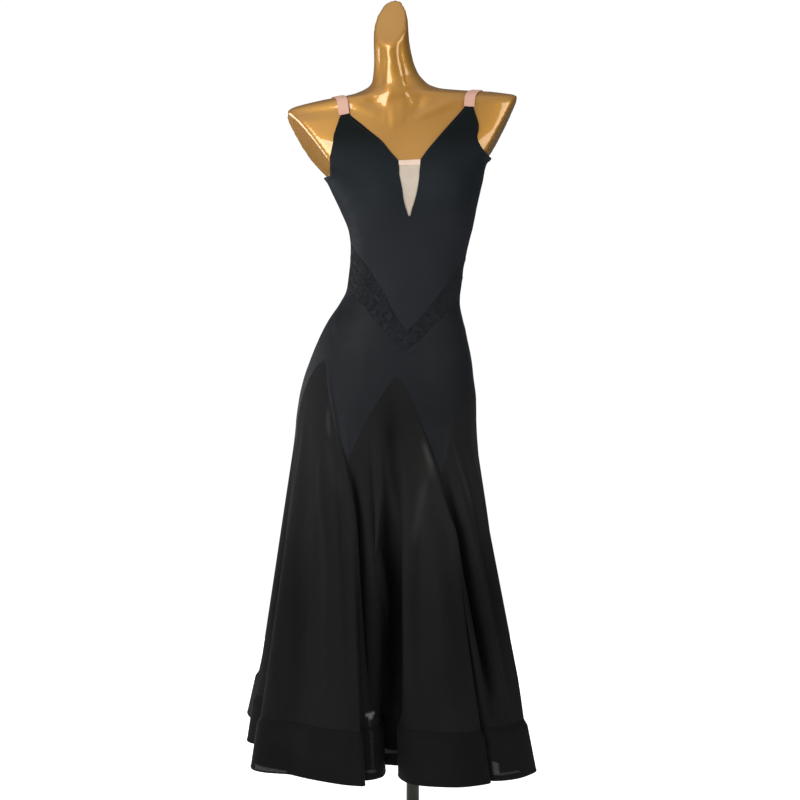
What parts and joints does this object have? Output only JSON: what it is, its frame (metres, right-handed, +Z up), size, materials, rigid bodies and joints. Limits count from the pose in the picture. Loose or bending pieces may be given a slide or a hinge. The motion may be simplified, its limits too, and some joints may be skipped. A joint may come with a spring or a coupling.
{
  "type": "ballroom dance dress on a dress form",
  "caption": "Black sleeveless ballroom dance dress with a pointed lace waist band and flared godet skirt, worn by a gold limbless dress form on a round-based stand.",
  "frame": {"origin": "on the floor, at the middle of the underside of the stand's base", "axes": "+Z up, the dress faces -Y, +X towards the wearer's left"},
  "size_m": [0.5676, 0.5578, 1.6241],
  "materials": {
    "stretch_crepe": "matte black stretch crepe with a faint green-blue sheen",
    "nude_mesh": "fine nude stretch mesh",
    "nude_elastic": "satin-faced pink-nude elastic",
    "waist_lace": "dull black lace over mesh",
    "yoke_satin": "soft black stretch satin",
    "skirt_chiffon": "sheer matte black chiffon",
    "hem_braid_cloth": "two layers of black chiffon over stiff hem braid",
    "gold_gloss": "glossy metallic gold lacquer",
    "stand_steel": "satin grey-bronze painted steel"
  },
  "bodies": {
    "root": {"bodice_front": "stretch_crepe", "bodice_back": "stretch_crepe", "plunge_inset": "nude_mesh", "inset_binding": "nude_elastic", "strap_right": "nude_elastic", "strap_left": "nude_elastic", "waist_band_front": "waist_lace", "waist_band_back": "waist_lace", "yoke_front": "yoke_satin", "yoke_back": "yoke_satin", "skirt_godet_1": "skirt_chiffon", "skirt_godet_2": "skirt_chiffon", "skirt_godet_3": "skirt_chiffon", "skirt_godet_4": "skirt_chiffon", "skirt_godet_5": "skirt_chiffon", "skirt_godet_6": "skirt_chiffon", "hem_band_1": "hem_braid_cloth", "hem_band_2": "hem_braid_cloth", "hem_band_3": "hem_braid_cloth", "hem_band_4": "hem_braid_cloth", "hem_band_5": "hem_braid_cloth", "hem_band_6": "hem_braid_cloth", "dress_form": "gold_gloss", "stand_pole": "stand_steel", "stand_base": "stand_steel"}
  },
  "joints": []
}
